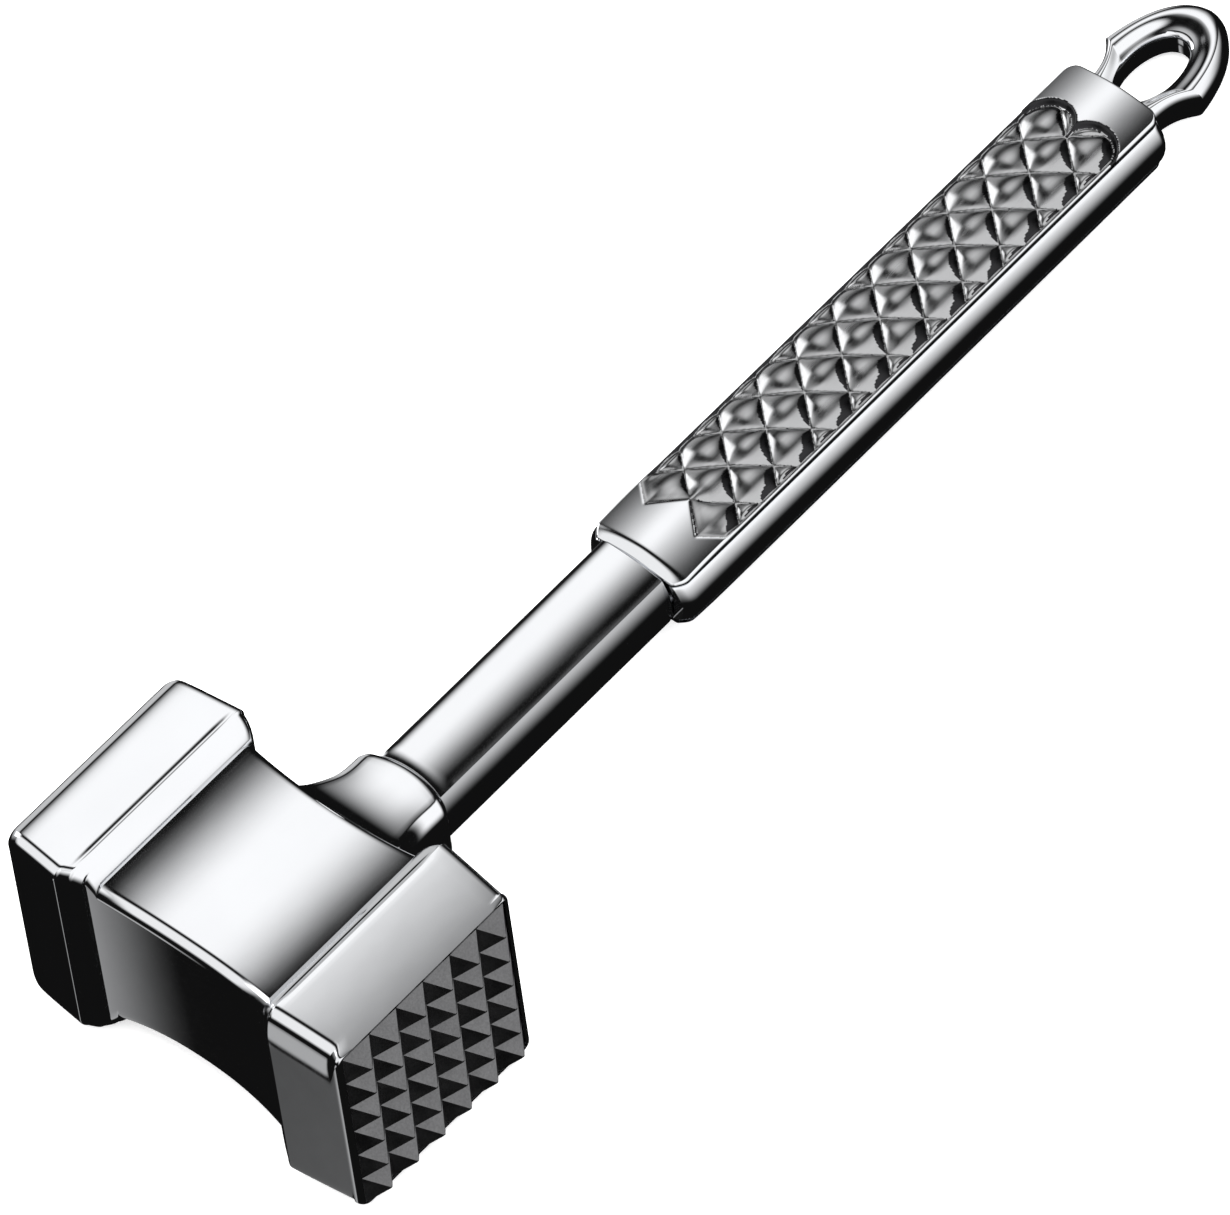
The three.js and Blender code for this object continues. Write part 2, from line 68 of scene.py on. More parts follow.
ORIGIN = np.array([
    (plate_low[0] + plate_high[0]) / 2,
    (shank_low[1] + shank_high[1]) / 2,
    (head_low[2] + head_high[2]) / 2,
])


def local(point):
    """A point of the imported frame, in millimetres from the crossing of the axes."""
    return (np.array(point) - ORIGIN) / MM


GAP = 0.25  # between two seated pieces

HEAD_X = -local(head_low)[0]
HEAD_Z = local(head_high)[2]
PLAIN_Y = local(head_high)[1]
RIM_Y = -local(head_low)[1]
BOSS_END = local(head_high)[0]
GRIP_START = local(core_low)[0]
GRIP_END = local(core_high)[0]
PANEL_BACK = local(panel_low)[2]
PANEL_TOP = local(panel_high)[2]
PANEL_Y = local(panel_high)[1]
LOOP_TIP = local(loop_high)[0]
LOOP_Y = local(loop_high)[1]
LOOP_Z = local(loop_high)[2]


# ---- mesh helpers ----

def make_piece(name, points, faces, sharp_degrees, node, slot):
    """A closed, smooth-shaded mesh from local millimetre points, riding on the mallet in a node's place."""
    mesh = bpy.data.meshes.new(name)
    placed = np.asarray(points, float) * MM + ORIGIN
    mesh.from_pydata(placed.tolist(), [], [list(map(int, face)) for face in faces])
    mesh.validate()
    mesh.update()
    piece = bpy.data.objects.new(name, mesh)
    bpy.context.scene.collection.objects.link(piece)
    mesh.polygons.foreach_set("use_smooth", np.ones(len(mesh.polygons), bool))
    mesh.set_sharp_from_angle(angle=math.radians(sharp_degrees))
    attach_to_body(piece, BODY)
    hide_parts(node)
    return piece


def loft(rings):
    """Points and faces of a closed skin through equal rings, with a flat cap at each end."""
    count = len(rings[0])
    faces = []
    for ring in range(len(rings) - 1):
        here, ahead = ring * count, (ring + 1) * count
        for side in range(count):
            following = (side + 1) % count
            faces.append((here + side, here + following, ahead + following, ahead + side))
    faces.append(tuple(range(count))[::-1])
    faces.append(tuple(range((len(rings) - 1) * count, len(rings) * count)))
    return np.vstack(rings), faces


def smoothstep(value):
    value = np.clip(value, 0.0, 1.0)
    return value * value * (3 - 2 * value)


def edge_drop(distance, radius):
    """How far a rounded edge has fallen away at a distance in from where it ends."""
    into = np.clip(1 - distance / radius, 0, 1)
    return radius * (1 - np.sqrt(1 - into ** 2))


def arc(centre, radius, start, stop, steps):
    return [
        (centre[0] + radius * math.cos(angle), centre[1] + radius * math.sin(angle))
        for angle in np.linspace(start, stop, steps)
    ]


def fill(start, stop, steps):
    """The points strictly between two points."""
    start, stop = np.array(start), np.array(stop)
    return [tuple(start + (stop - start) * step / steps) for step in range(1, steps)]


def rounded_outline(half_a, half_b, radius, side_steps, corner_steps):
    """Points round a rounded rectangle, anticlockwise from the +a side's upper end."""
    a, b = half_a - radius, half_b - radius
    corners = [
        arc(centre, radius, index * QUARTER, (index + 1) * QUARTER, corner_steps + 1)
        for index, centre in enumerate([(a, b), (-a, b), (-a, -b), (a, -b)])
    ]
    outline = []
    for corner, following in zip(corners, corners[1:] + corners[:1]):
        outline += corner + fill(corner[-1], following[0], side_steps)
    return np.array(outline)


# ---- head ----

TOOTHED_X = 22.0  # half width and height of the toothed block at its rim
TOOTHED_Z = 22.2
PLAIN_X = 21.5  # the same for the plain block at its face
PLAIN_Z = 22.1
HANDLE_X = 23.4  # the handle side of both blocks, at their waist ends
PLAIN_BOW = 8.0  # the power that the plain block's top grows with
TOP_BOW = 0.45  # how far the toothed block's top is rounded down towards the teeth

BLOCK_INNER = 23.2  # where each block ends and its shoulder starts
PLAIN_FOOT = 19.1  # where the plain block's shoulder meets the waist
TOOTHED_FOOT = 19.4
NOSE_STRETCH = 1.11  # how much further out the plain block's nose side starts to fall away

# How far a side has come in from the blocks at a shoulder's foot, and at the middle of the waist.
NOSE_FOOT = 3.3
NOSE_MIDDLE = 5.1
HANDLE_FOOT = 2.9
HANDLE_MIDDLE = 3.4
TOP_FOOT = 3.9
TOP_MIDDLE = 5.7
WAIST_POWER = 2.25

SHOULDER_LIP = 0.22  # the tight turn at a shoulder's brow
LIP_SHARE = 0.12  # of the shoulder
FOOT_STEP = 0.5  # the small upright step at a shoulder's foot
STEP_SHARE = 0.04
SHOULDER_POWER = 2.8
SHOULDER_SLOPE = 0.45  # how much of a shoulder's fall is an even slope
NOSE_SLOPE = 0.95
NOSE_SOFT = 0.15  # how softly the nose side's shoulders start

BROW_GROOVE = 0.14  # a faint line pressed along each shoulder's upper edge
PLAIN_BROW = 23.6
TOOTHED_BROW = 22.9
BROW_WIDTH = 0.55
BROW_FADE = 2.0

# The rounded edges of the striking faces, side by side: their depth along the head and how far they come in.
PLAIN_DEPTH = 3.0
PLAIN_ROUND = {"nose": (PLAIN_DEPTH, 1.5), "handle": (PLAIN_DEPTH, 2.0), "top": (PLAIN_DEPTH, 2.4)}
TOOTHED_ROUND = {"nose": (1.2, 0.6), "handle": (0.8, 0.6), "top": (0.3, 0.0)}

# The upper nose edge is a tight round that opens into a broad bevel along the toothed block.
EDGE_RADIUS = 2.4
EDGE_GROWTH = 0.4
BEVEL_GROWTH = 26.0
BEVEL_OPENS = 4.5  # length along the head
BEVEL_CLOSES = 3.0
EDGE_AT_TEETH = 1.4  # how much both radii shrink at the teeth
BEVEL_TURN = math.radians(14)  # where the tight radius hands over to the wide one

CORNER = 2.0  # radius of the handle side's edges
CORNER_AT_TEETH = 1.4
CORNER_TEETH_LENGTH = 1.5
UNDER_NOSE = 1.7  # the lower nose edge's radius, as a share of the corner's

RIM = 1.2  # width of the bright rim round the toothed plate
RIM_Z = 21.25
RIM_CORNER = 0.3
RECESS = 3.85  # depth of the recess that the plate lies in


def waist_drop(distance, foot, middle, foot_at, slope=SHOULDER_SLOPE, soft=0.0):
    """How far a side lies inside its blocks' waist ends, at a distance from the handle's axis."""
    if distance >= BLOCK_INNER:
        return 0.0
    if distance >= foot_at:
        along = (BLOCK_INNER - distance) / (BLOCK_INNER - foot_at)
        along = (math.hypot(along, soft) - soft) / (math.hypot(1, soft) - soft)
        lip = SHOULDER_LIP * smoothstep(along / LIP_SHARE)
        step = FOOT_STEP * smoothstep((along - 1 + STEP_SHARE) / STEP_SHARE)
        fall = slope * along + (1 - slope) * along ** SHOULDER_POWER
        return lip + step + (foot - SHOULDER_LIP - FOOT_STEP) * fall
    return foot + (middle - foot) * (1 - (distance / foot_at) ** WAIST_POWER)


def block_side(y, toothed, plain, inner, power=1.0):
    """Distance of a side from the head's axis, growing from a striking face to its block's waist end."""
    face, outer = (PLAIN_Y, plain) if y > 0 else (RIM_Y, toothed)
    grown = np.clip((face - abs(y)) / (face - BLOCK_INNER), 0, 1)
    return outer + (inner - outer) * (1 - (1 - grown) ** power)


def end_inset(y, side):
    """How far the rounded edge of the nearer striking face has come in at y."""
    depth, inset = PLAIN_ROUND[side] if y > 0 else TOOTHED_ROUND[side]
    face = PLAIN_Y if y > 0 else RIM_Y
    return edge_drop(face - abs(y), depth) * inset / depth


def head_sides(y):
    """Distances of the nose side, the handle side and the top from the head's axis."""
    distance = abs(y)
    foot_at = PLAIN_FOOT if y > 0 else TOOTHED_FOOT
    nose_distance = y / NOSE_STRETCH if y > 0 else distance
    nose = block_side(y, TOOTHED_X, PLAIN_X, HEAD_X) - end_inset(y, "nose")
    nose -= waist_drop(nose_distance, NOSE_FOOT, NOSE_MIDDLE, foot_at, NOSE_SLOPE, NOSE_SOFT)
    handle = block_side(y, TOOTHED_X, PLAIN_X, HANDLE_X) - end_inset(y, "handle")
    handle -= waist_drop(distance, HANDLE_FOOT, HANDLE_MIDDLE, foot_at)
    top = block_side(y, TOOTHED_Z, PLAIN_Z, HEAD_Z, PLAIN_BOW if y > 0 else 1.0) - end_inset(y, "top")
    if y < 0:
        top -= TOP_BOW * max(0.0, (distance - BLOCK_INNER) / (RIM_Y - BLOCK_INNER)) ** 2
    top -= waist_drop(distance, TOP_FOOT, TOP_MIDDLE, foot_at)
    return nose, handle, top


def brow_groove(y):
    """Depth of the line along the shoulders' brows."""
    brow_at = PLAIN_BROW if y > 0 else TOOTHED_BROW
    return BROW_GROOVE * math.exp(-((abs(y) - brow_at) / BROW_WIDTH) ** 2)


def nose_edge(y):
    """Tight and wide radius of the upper nose edge."""
    in_block = smoothstep((-y - TOOTHED_FOOT) / BEVEL_OPENS)
    near_teeth = smoothstep((-y - RIM_Y + BEVEL_CLOSES) / BEVEL_CLOSES)
    shrink = EDGE_AT_TEETH * near_teeth
    tight = EDGE_RADIUS + EDGE_GROWTH * in_block - shrink
    wide = EDGE_RADIUS + BEVEL_GROWTH * in_block * (1 - near_teeth) - shrink
    return tight, wide


def head_outline(nose, handle, top, corner, tight, wide):
    """One cut through the head: x and z from the upper handle edge, anticlockwise."""
    under = corner * UNDER_NOSE
    joint_x = -nose + wide * (1 - math.cos(BEVEL_TURN))
    joint_z = top - tight * (1 - math.sin(BEVEL_TURN))
    tight_centre = (joint_x + tight * math.cos(BEVEL_TURN), top - tight)
    wide_centre = (-nose + wide, joint_z - wide * math.sin(BEVEL_TURN))
    upper_nose = arc(tight_centre, tight, QUARTER, 2 * QUARTER - BEVEL_TURN, 12)
    upper_nose += arc(wide_centre, wide, 2 * QUARTER - BEVEL_TURN, 2 * QUARTER, 12)[1:]
    edges = [
        arc((handle - corner, top - corner), corner, 0, QUARTER, 7),
        upper_nose,
        arc((under - nose, under - top), under, 2 * QUARTER, 3 * QUARTER, 9),
        arc((handle - corner, corner - top), corner, 3 * QUARTER, 4 * QUARTER, 7),
    ]
    side_steps = [18, 22, 18, 14]
    outline = []
    for edge, following, steps in zip(edges, edges[1:] + edges[:1], side_steps):
        outline += edge + fill(edge[-1], following[0], steps)
    return np.array(outline)


def head_ring(y, shrink=1.0):
    nose, handle, top = head_sides(y)
    tight, wide = nose_edge(y)
    corner = CORNER if y > CORNER_TEETH_LENGTH - RIM_Y else CORNER_AT_TEETH
    x, z = (head_outline(nose, handle, top, corner, tight, wide) * shrink).T
    from_edge = np.minimum(x + nose, handle - x)
    z = z - np.sign(z) * brow_groove(y) * smoothstep((from_edge - tight) / BROW_FADE)
    return np.column_stack([x, np.full(len(x), y), z])


def head_stations():
    """Stations along the head from the plain face to the toothed rim, close together where it bends."""
    plain_flat = PLAIN_Y - PLAIN_DEPTH
    plain_brow = BLOCK_INNER * NOSE_STRETCH
    toothed_brow = -BLOCK_INNER - 0.4
    rim_depth = 2.6
    beside_foot = 0.04
    quarter_turn = np.linspace(0, QUARTER, 14)
    rim_turn = np.linspace(0, QUARTER, 16)
    stations = np.concatenate([
        PLAIN_Y - PLAIN_DEPTH * (1 - np.cos(quarter_turn)),
        np.linspace(plain_brow, plain_flat, 16),
        np.linspace(PLAIN_FOOT, plain_brow, 60),
        [PLAIN_FOOT - beside_foot, beside_foot - TOOTHED_FOOT],
        np.linspace(-TOOTHED_FOOT, PLAIN_FOOT, 70),
        np.linspace(toothed_brow, -TOOTHED_FOOT, 44),
        np.linspace(rim_depth - RIM_Y, toothed_brow, 16),
        rim_depth * (1 - np.cos(rim_turn)) - RIM_Y,
    ])
    return np.unique(stations.round(4))[::-1]


def rim_ring(y, shrink=1.0):
    """The recess inside the rim."""
    half_x = (TOOTHED_X - RIM) * shrink
    x, z = head_outline(half_x, half_x, RIM_Z * shrink, RIM_CORNER, RIM_CORNER, RIM_CORNER).T
    return np.column_stack([x, np.full(len(x), y), z])


def head_body():
    floor_y = RECESS - RIM_Y
    rings = [head_ring(PLAIN_Y, 0.4), head_ring(PLAIN_Y, 0.85)]
    rings += [head_ring(y) for y in head_stations()]
    rings += [rim_ring(-RIM_Y), rim_ring(floor_y), rim_ring(floor_y, 0.5)]
    return make_piece("head_body", *loft(rings), 24, "head_casting", "head")


BOSS_Y = 10.2
BOSS_Z = 7.6
BOSS_CROWN = 0.6
BOSS_CORNER = 2.6
BOSS_EDGE = 1.8  # the rounded edge round its end
BOSS_BULGE = 2.2  # how far its end stands out in its middle
BULGE_START = 26.0
BULGE_LENGTH = 10.0
BOSS_FLARE = 17.0  # radius of the hollow curve into the waist
BOSS_ROOT = 16.8  # half width where the flare meets the waist
BOSS_SUNK = 1.0  # how deep the flare's root lies in the waist
BOSS_BELOW_TOP = 0.2
LEAST_CORNER = 0.3


def boss_ring(x, half_y, half_z, inset=0.0):
    corner = max(BOSS_CORNER - inset, LEAST_CORNER)
    y, z = rounded_outline(half_y - inset, half_z - inset, corner, 16, 8).T
    z = z + np.sign(z) * BOSS_CROWN * np.clip(1 - (y / half_y) ** 2, 0, None)
    back = BOSS_BULGE * (y / BOSS_Y) ** 2 * smoothstep((x - BULGE_START) / BULGE_LENGTH)
    return np.column_stack([x - back, y, z])


def head_boss():
    """The square boss that carries the shank, flaring in a hollow curve into the waist."""
    root = HANDLE_X - HANDLE_MIDDLE - BOSS_SUNK
    full = root + BOSS_FLARE
    widen = BOSS_ROOT - BOSS_Y
    heighten = HEAD_Z - TOP_MIDDLE - BOSS_Z - BOSS_CROWN - BOSS_BELOW_TOP
    rings = [boss_ring(root - depth, BOSS_ROOT, BOSS_Z + heighten) for depth in (4, 2)]
    for x in np.linspace(root, full, 26):
        spread = edge_drop(x - root, BOSS_FLARE) / BOSS_FLARE
        rings.append(boss_ring(x, BOSS_Y + widen * spread, BOSS_Z + heighten * spread))
    for angle in np.linspace(QUARTER, 0, 7):
        x = BOSS_END - BOSS_EDGE * (1 - math.cos(angle))
        rings.append(boss_ring(x, BOSS_Y, BOSS_Z, BOSS_EDGE * (1 - math.sin(angle))))
    return make_piece("head_boss", *loft(rings), 40, "head_casting", "head")


# ---- toothed plate ----

TEETH = 6  # in each direction
TOOTH_X = 6.85
TOOTH_Z = 7.0
TOOTH_HEIGHT = 3.3
TOOTH_TIP = 0.05  # width of the small flat tip, as a share of the tooth
TOOTH_PLATE = 3.6
SQUARE = [(-1, -1), (1, -1), (1, 1), (-1, 1)]


def tooth_plate():
    """A grid of square pyramids standing on a plate, all one closed skin."""
    front = GAP - RIM_Y
    line = list(range(TEETH + 1))
    points = [((i - TEETH / 2) * TOOTH_X, front, (j - TEETH / 2) * TOOTH_Z) for i in line for j in line]
    first_border = len(points)
    first_back = first_border + 4
    for y in (front, front + TOOTH_PLATE):
        points += [((TOOTHED_X - RIM - GAP) * a, y, (RIM_Z - GAP) * b) for a, b in SQUARE]

    def valley(i, j):
        return i * (TEETH + 1) + j

    faces = []
    for i in range(TEETH):
        for j in range(TEETH):
            base = [valley(i, j), valley(i + 1, j), valley(i + 1, j + 1), valley(i, j + 1)]
            tip = [len(points) + k for k in range(4)]
            for a, b in SQUARE:
                x = (i + (1 + a * TOOTH_TIP - TEETH) / 2) * TOOTH_X
                z = (j + (1 + b * TOOTH_TIP - TEETH) / 2) * TOOTH_Z
                points.append((x, front - TOOTH_HEIGHT, z))
            faces += [(base[k - 1], base[k], tip[k], tip[k - 1]) for k in range(4)]
            faces.append(tuple(tip))

    edges = [
        [valley(i, 0) for i in line],
        [valley(TEETH, j) for j in line],
        [valley(i, TEETH) for i in line[::-1]],
        [valley(0, j) for j in line[::-1]],
    ]
    for k, edge in enumerate(edges):
        here, ahead = first_border + k, first_border + (k + 1) % 4
        faces.append((here, ahead, *edge[::-1]))
        faces.append((here + 4, ahead + 4, ahead, here))
    faces.append(tuple(first_back + k for k in (3, 2, 1, 0)))
    return make_piece("toothed_face", points, faces, 12, "tooth_plate", "teeth")


# ---- shank ----

SHANK_NEAR_Y = -6.7  # the crease between the top and the toothed side
SHANK_NEAR_Z = 5.45
SHANK_FAR_Y = 6.9  # the crease between the top and the plain side
SHANK_FAR_Z = 6.3
SHANK_LOW_Y = 7.1  # half width and depth of the lower edges
SHANK_LOW_Z = 6.0
SHANK_CROWN = 0.6  # of the underside
SHANK_CREST = 3.6  # where across the shank its top is highest
SHANK_TOP = 6.65
SHANK_BULGE = 1.5  # of both sides
SHANK_EDGE = 0.15


def shank_top(y):
    far = y > SHANK_CREST
    edge_y, edge_z = (SHANK_FAR_Y, SHANK_FAR_Z) if far else (SHANK_NEAR_Y, SHANK_NEAR_Z)
    share = abs(y - SHANK_CREST) / abs(edge_y - SHANK_CREST)
    return SHANK_TOP - (SHANK_TOP - edge_z) * share ** (3.0 if far else 2.0)


def shank_section(shrink):
    """The shank's outline: two crowned broad faces and two bulged sides that meet in a crease."""
    near_y, far_y, low_y = SHANK_NEAR_Y + shrink, SHANK_FAR_Y - shrink, SHANK_LOW_Y - shrink
    near_z, far_z, low_z = SHANK_NEAR_Z - shrink, SHANK_FAR_Z - shrink, SHANK_LOW_Z - shrink
    outline = [(y, shank_top(y) - shrink) for y in np.linspace(far_y, near_y, 34)]
    down = np.linspace(0, 1, 23)[1:-1]
    for t in down:
        bulge = SHANK_BULGE * 4 * t * (1 - t)
        outline.append((near_y - (low_y + near_y) * t - bulge, near_z - (low_z + near_z) * t))
    for y in np.linspace(-low_y, low_y, 24):
        outline.append((y, -low_z - SHANK_CROWN * (1 - (y / SHANK_LOW_Y) ** 2)))
    for t in down:
        bulge = SHANK_BULGE * 4 * t * (1 - t)
        outline.append((low_y + (far_y - low_y) * t + bulge, (far_z + low_z) * t - low_z))
    return np.array(outline)


def shank_ring(x, shrink=0.0, hollow=0.0):
    """One cut through the shank, bent back at its sides by as much as the boss's end bulges."""
    section = shank_section(shrink)
    back = hollow * BOSS_BULGE * (section[:, 0] / BOSS_Y) ** 2
    return np.column_stack([x - back, section])


def shank_bar():
    start, end = BOSS_END + GAP, GRIP_START - GAP
    rings = [
        shank_ring(start, SHANK_EDGE, 1),
        shank_ring(start + SHANK_EDGE * 0.3, SHANK_EDGE * 0.35, 1),
        shank_ring(start + SHANK_EDGE, 0, 1),
    ]
    rings += [shank_ring(x) for x in np.linspace(start + 3, end - 3, 9)]
    rings += [shank_ring(end - SHANK_EDGE), shank_ring(end, SHANK_EDGE)]
    return make_piece("shank_bar", *loft(rings), 30, "shank", "shank")


# ---- grip ----

CORE_Z = 4.9
CORE_CORNER = 0.4
CORE_BULGE = 1.8  # how far the frame's sides stand out
GRIP_LIP = 2.6  # length of the rounded lip at the shank's end
GRIP_LIP_DROP = 1.6  # how far it comes in at each side
CORE_LIP_DROP = 0.25
END_ROUND = 2.6  # radius of the far end's upright corners
END_FLAT = 0.3

PANEL_SINK = 0.7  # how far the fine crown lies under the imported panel's top
PANEL_CROWN = 1.25
CROWN_POWER = 1.6
PANEL_EDGE = 0.55  # the rounded long edges
PANEL_END_EDGE = 0.5
LIP_HEIGHT = 0.35  # of the panel, at the lip's start
NEAR_DIP = 0.65  # the panel bends down a little towards the shank
NEAR_DIP_END = 108.5

RELIEF_FIRST = 111.7  # the first groove crossing on the grip's middle line
RELIEF_PITCH = 10.15  # along the grip
RELIEF_ROW = 5.9  # half the pitch across the grip
RELIEF_COUNT = 10
RELIEF_DEPTH = 1.3
RELIEF_HALF = 9.7  # half width of the quilted field, on the toothed side
RELIEF_HALF_FAR = 10.1
PILLOW_POWER = 0.55  # the lower, the flatter the pillows' tops
BORDER_WIDTH = 1.0
BORDER_GROOVE = 1.7  # how far the groove along the border reaches into the pillows
NEAR_DEPTH = 0.15  # how deep the relief is at its near tips, as a share
NEAR_FADE = 5.0  # length over which it reaches its full depth
ARCH_ROW = 4.8  # the relief's far end is two rounded arches
ARCH_RADIUS = 5.0
ARCH_GROOVE = (-0.7, 0.35)  # painted dark reflection in the groove round the arches, from outside to inside them
QUILTED_FROM = 0.3  # how far into the border the quilting's duller plating, darkened as painted shade, starts
BACK_MARGIN = 0.05  # thickness that still counts as the panel's back
SHADE_SLOPE = 0.31  # how steeply a flank faces the toothed side and the loop before it gets the painted dark reflection


def core_ring(x, shrink_y=0.0, shrink_z=0.0):
    """The grip frame's outline: flat under the panels, with rounded and slightly bulged sides."""
    half_z = CORE_Z - shrink_z
    y, z = rounded_outline(PANEL_Y - shrink_y, half_z, CORE_CORNER, 20, 5).T
    y = y + np.sign(y) * CORE_BULGE * np.clip(1 - (z / half_z) ** 2, 0, None)
    return np.column_stack([np.full(len(y), x), y, z])


def far_inset(x):
    """How far the sides of the grip's far end have come in at x."""
    return min(edge_drop(GRIP_END - x, END_ROUND), END_ROUND - END_FLAT)


def grip_frame_bar():
    rings = []
    for share in np.linspace(0, 1, 9):
        inset = GRIP_LIP_DROP * (1 - math.sin(share * QUARTER))
        rings.append(core_ring(GRIP_START + GRIP_LIP * share, inset, CORE_LIP_DROP * (1 - share)))
    rings += [core_ring(x) for x in np.linspace(GRIP_START + 6, GRIP_END - 6, 9)]
    for share in np.linspace(0, 1, 9):
        x = GRIP_END - END_ROUND * (1 - math.sin(share * QUARTER))
        rings.append(core_ring(x, far_inset(x)))
    return make_piece("grip_frame", *loft(rings), 30, "grip_core", "grip_frame")


def pillow(x, y):
    """0 along a groove and 1 on top of a diamond pillow."""
    along = (x - RELIEF_FIRST) / RELIEF_PITCH
    across = y / (2 * RELIEF_ROW)
    swell = np.abs(np.sin(math.pi * (along + across)) * np.sin(math.pi * (along - across)))
    return swell ** PILLOW_POWER


def inside_tips(x, y):
    """How far a point lies beyond the zigzag of near tips, along the grip."""
    off_row = np.abs(np.abs(y) - RELIEF_ROW) / RELIEF_ROW
    return x - RELIEF_FIRST + RELIEF_PITCH / 2 * (1 - off_row)


def inside_arches(x, y):
    """How far a point lies inside the two arches at the relief's far end; large elsewhere."""
    beyond = x - (RELIEF_FIRST + RELIEF_PITCH * RELIEF_COUNT)
    off_arch = np.abs(np.abs(y) - ARCH_ROW)
    inside = ARCH_RADIUS - np.hypot(np.maximum(beyond, 0), off_arch)
    return np.where(beyond > 0, inside, ARCH_RADIUS)


def inside_by(x, y):
    """How many millimetres a point lies inside the quilted field's border, less than 0 outside it."""
    half = np.where(y > 0, RELIEF_HALF_FAR, RELIEF_HALF)
    return np.minimum(np.minimum(half - np.abs(y), inside_tips(x, y)), inside_arches(x, y))


def field(x, y):
    """1 inside the quilted field, falling to 0 at its border."""
    return smoothstep(inside_by(x, y) / BORDER_WIDTH + 0.5)


def panel_height(x, y, half_y):
    """Height of the upper panel's face above the grip's middle plane."""
    crown = PANEL_TOP - PANEL_SINK - PANEL_CROWN * np.abs(y / PANEL_Y) ** CROWN_POWER
    dip = NEAR_DIP * np.clip((NEAR_DIP_END - x) / (NEAR_DIP_END - GRIP_START), 0, 1) ** 2
    rise = np.sqrt(smoothstep(inside_by(x, y) / BORDER_GROOVE))
    depth = NEAR_DEPTH + (1 - NEAR_DEPTH) * smoothstep(inside_tips(x, y) / NEAR_FADE)
    relief = RELIEF_DEPTH * (1 - pillow(x, y) * rise) * field(x, y) * depth
    return crown - dip - relief - edge_drop(half_y - np.abs(y), PANEL_EDGE)


def panel_grid():
    """Upper and lower points of the upper panel, and how many there are along and across it."""
    step = 0.27
    edge_shares = np.linspace(0.94, 1, 9)
    shares = np.unique(np.concatenate([np.linspace(-1, 1, 87), edge_shares, -edge_shares]))
    xs = np.concatenate([
        GRIP_START + GRIP_LIP * np.linspace(0, 1, 8)[:-1],
        np.arange(GRIP_START + GRIP_LIP, GRIP_END - END_ROUND, step),
        GRIP_END - END_ROUND * (1 - np.sin(np.linspace(0, QUARTER, 9))),
    ])
    top, bottom = [], []
    for x in xs:
        risen = math.sin(min((x - GRIP_START) / GRIP_LIP, 1) * QUARTER)
        half_y = PANEL_Y - max(GRIP_LIP_DROP * (1 - risen), far_inset(x))
        ys = shares * half_y
        height = panel_height(x, ys, half_y) - PANEL_BACK
        height *= LIP_HEIGHT + (1 - LIP_HEIGHT) * risen
        height -= edge_drop(GRIP_END - x, PANEL_END_EDGE)
        top.append(np.column_stack([np.full(len(ys), x), ys, PANEL_BACK + height]))
        bottom.append(np.column_stack([np.full(len(ys), x), ys, np.full(len(ys), PANEL_BACK)]))
    return np.vstack(top), np.vstack(bottom), len(xs), len(shares)


def grid_faces(columns, rows):
    """Faces of a closed skin over a grid of upper points, followed by the same grid of lower points."""
    lower = columns * rows
    faces = []
    for i in range(columns - 1):
        for j in range(rows - 1):
            a, b = i * rows + j, (i + 1) * rows + j
            faces.append((a, b, b + 1, a + 1))
            faces.append((lower + a, lower + a + 1, lower + b + 1, lower + b))
    rim = [i * rows for i in range(columns)]
    rim += [(columns - 1) * rows + j for j in range(1, rows)]
    rim += [i * rows + rows - 1 for i in range(columns - 2, -1, -1)]
    rim += list(range(rows - 2, 0, -1))
    for here, ahead in zip(rim, rim[1:] + rim[:1]):
        faces.append((ahead, here, lower + here, lower + ahead))
    return faces


def grip_panel(name, node, underneath):
    """A crowned cover plate with the pressed quilting; the lower one is the upper one's mirror image."""
    top, bottom, columns, rows = panel_grid()
    points = np.vstack([top, bottom])
    faces = grid_faces(columns, rows)
    if underneath:
        points[:, 2] *= -1
        faces = [face[::-1] for face in faces]
    panel = make_piece(name, points, faces, 75, node, "grip_panel")
    paint_panel(panel)


def paint_panel(panel):
    """Bright plating on the plain border, and on the quilting a duller plating whose darker grey is painted
    shade.

    A near-black plating is painted dark reflection in the arches' groove and on flanks that face one way.
    """
    for material in (bright, quilted, painted_dark_reflection):
        panel.data.materials.append(material)
    faces = panel.data.polygons
    centres, normals = np.empty((2, len(faces) * 3))
    faces.foreach_get("center", centres)
    faces.foreach_get("normal", normals)
    x, y, z = ((centres.reshape(-1, 3) - ORIGIN) / MM).T
    arch = inside_arches(x, y)
    in_arch_groove = (arch > ARCH_GROOVE[0]) & (arch < ARCH_GROOVE[1])
    in_field = field(x, y) > QUILTED_FROM
    # Painted dark reflection: the arches' groove and steep quilted flanks facing the toothed side and the
    # loop get the near-black plating.
    painted_dark_flank = in_field & ((normals[0::3] - normals[1::3]) / math.sqrt(2) > SHADE_SLOPE)
    # Slot 1 is the quilting's plating, its darker grey painted shade; slot 2 is the near-black painted dark
    # reflection.
    index = np.where(in_arch_groove | painted_dark_flank, 2, np.where(in_field, 1, 0))
    on_face = np.abs(z) > PANEL_BACK + BACK_MARGIN
    faces.foreach_set("material_index", np.where(on_face, index, 0).astype(np.int32))


# ---- hanging loop ----

LOOP_SINK = 4.0  # how far its two roots go into the grip
LOOP_ROOT_Y = 7.5
LOOP_NECK = 232.0
LOOP_SHOULDER = 237.0
HOLE_START = 227.8
HOLE_END = 244.8
HOLE_WIDTH = 6.5  # how far out the hole's curve is drawn
LOOP_CREST = 0.6  # where between the hole and the outside the loop is thickest
DISH_START = 0.07  # where the dish beside the hole starts
LOOP_DISH = 0.76  # height there, as a share of the crest's
LOOP_ROUND = 0.6  # the power of the outer side's round


def bezier(points, count):
    t = np.linspace(0, 1, count)[:, None]
    a, b, c, d = (np.array(point, float) for point in points)
    return (1 - t) ** 3 * a + 3 * (1 - t) ** 2 * t * b + 3 * (1 - t) * t ** 2 * c + t ** 3 * d


